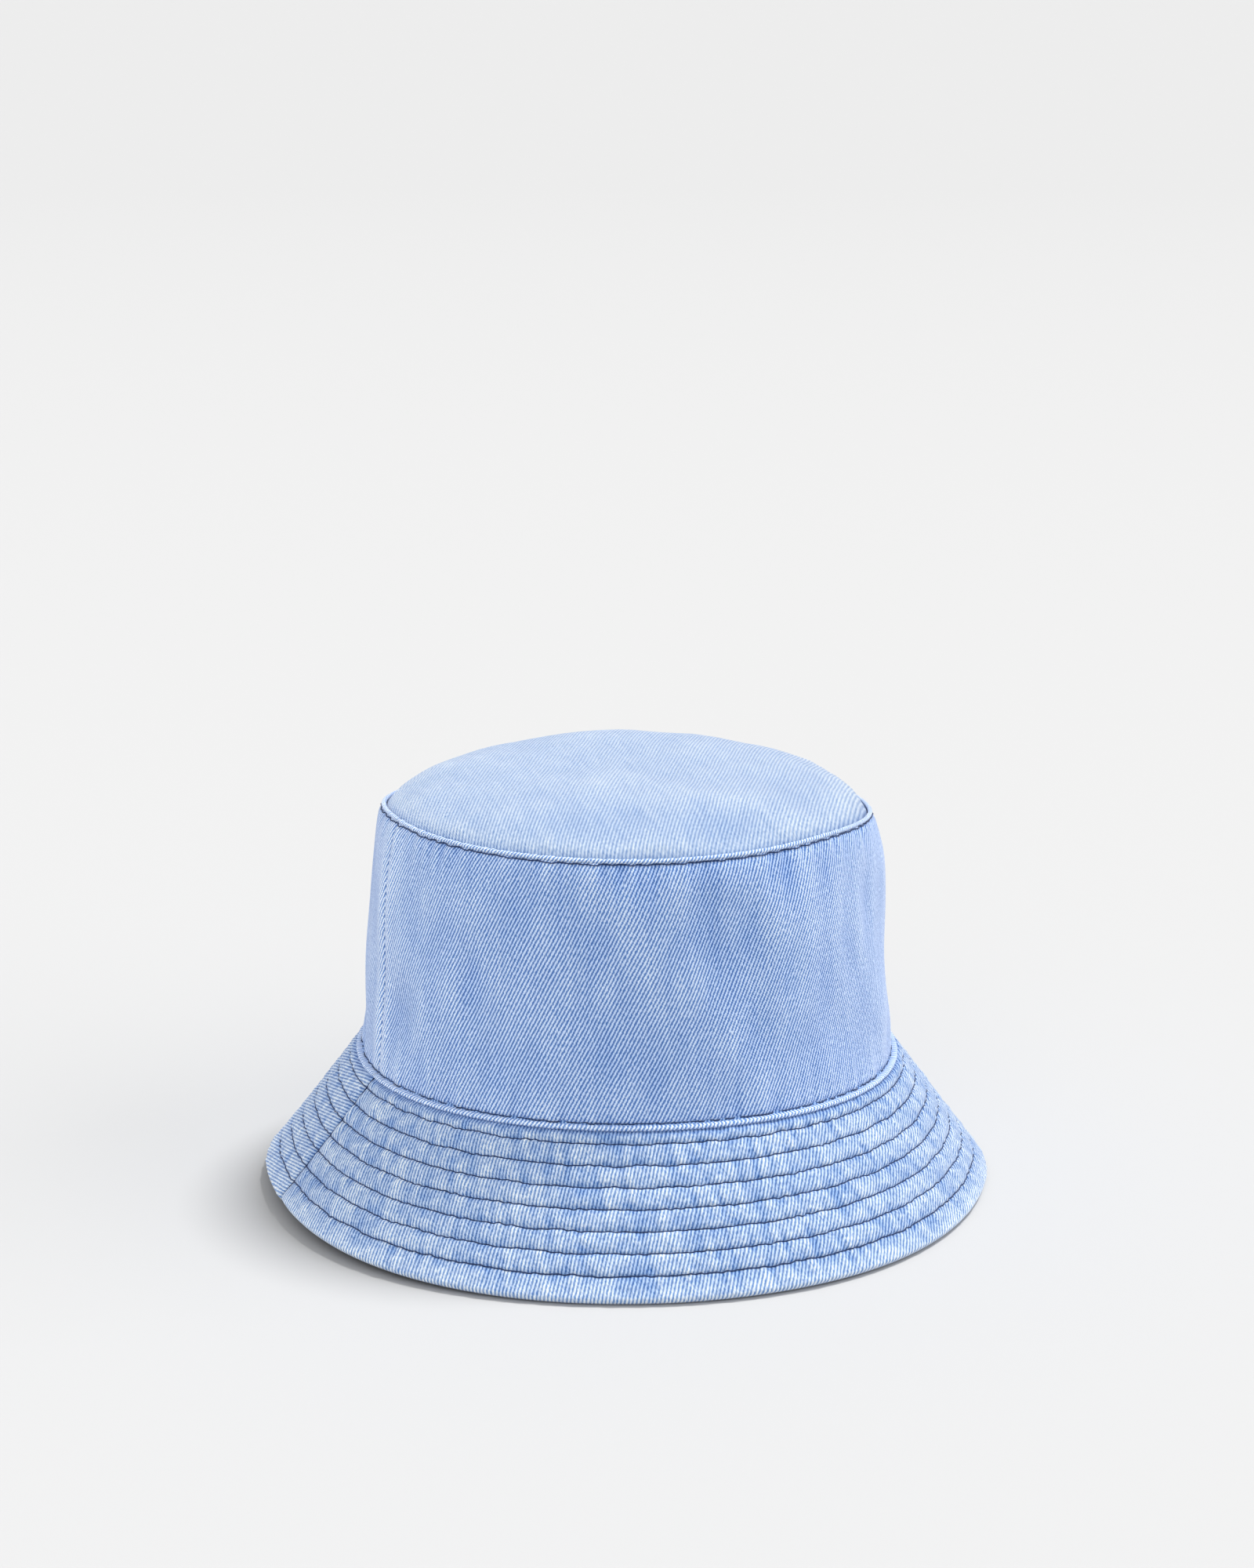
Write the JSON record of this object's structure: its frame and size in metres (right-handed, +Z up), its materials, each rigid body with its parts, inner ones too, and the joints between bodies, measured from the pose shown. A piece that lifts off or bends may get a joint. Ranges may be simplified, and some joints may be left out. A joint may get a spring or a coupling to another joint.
{
  "type": "bucket hat",
  "caption": "Soft lined bucket hat: a round tip on a slightly tapered crown, and a sloping brim quilted with rings of stitching, standing on its rim.",
  "frame": {"origin": "centre of the circle that the rim rests on, on the rest plane", "axes": "+Z up through the middle of the crown; the front of the hat faces -Y; the side seams are at -X and +X"},
  "size_m": [0.255, 0.255, 0.1434],
  "materials": {
    "denim_tip": "light washed denim, softly napped",
    "denim_crown": "light washed denim, softly napped",
    "denim_brim": "light washed denim, puckered by the stitching",
    "denim_under": "light washed denim, puckered by the stitching",
    "lining_cotton": "plain woven cotton",
    "interlining_felt": "soft non-woven felt",
    "sweatband_twill": "woven twill tape",
    "thread_navy": "twisted polyester thread",
    "thread_white": "twisted polyester thread",
    "label_satin": "blank satin ribbon"
  },
  "bodies": {
    "root": {"crown_side_front": "denim_crown", "crown_side_back": "denim_crown", "crown_side_seam_threads": "thread_navy", "crown_base_stitch": "thread_navy", "side_lining_front": "lining_cotton", "side_lining_back": "lining_cotton", "lining_side_seam_threads": "thread_white", "brim_top_front": "denim_brim", "brim_top_back": "denim_brim", "brim_top_seam_threads": "thread_navy", "brim_under_front": "denim_under", "brim_under_back": "denim_under", "brim_under_seam_threads": "thread_navy", "brim_interlining": "interlining_felt", "sweatband": "sweatband_twill", "sweatband_seam_thread": "thread_navy", "care_label": "label_satin", "brim_stitch_row_1": "thread_navy", "brim_stitch_row_2": "thread_navy", "brim_stitch_row_3": "thread_navy", "brim_stitch_row_4": "thread_navy", "brim_stitch_row_5": "thread_navy", "brim_stitch_row_6": "thread_navy", "brim_stitch_row_7": "thread_navy"},
    "rim": {"brim_edge_allowance": "denim_under", "brim_edge_seam_thread": "thread_navy"},
    "tip": {"tip_panel": "denim_tip", "tip_lining": "lining_cotton", "tip_edge_stitch": "thread_navy", "size_label": "label_satin", "size_label_stitches": "thread_white"}
  },
  "joints": [
    {"name": "brim_turn_up", "type": "slide", "parent": "root", "child": "rim", "axis": [0, 0, 1], "range_m": [0, 0.0944], "stiffness_N_per_m": 15, "springref_m": -0.1, "deforming": ["brim_top_front", "brim_top_back", "brim_top_seam_threads", "brim_under_front", "brim_under_back", "brim_under_seam_threads", "brim_interlining", "brim_stitch_row_1", "brim_stitch_row_2", "brim_stitch_row_3", "brim_stitch_row_4", "brim_stitch_row_5", "brim_stitch_row_6", "brim_stitch_row_7"]},
    {"name": "crown_press", "type": "slide", "parent": "root", "child": "tip", "axis": [0, 0, 1], "range_m": [-0.052, 0], "stiffness_N_per_m": 8, "springref_m": 0.05, "deforming": ["crown_side_front", "crown_side_back", "crown_side_seam_threads", "side_lining_front", "side_lining_back", "lining_side_seam_threads"]}
  ]
}
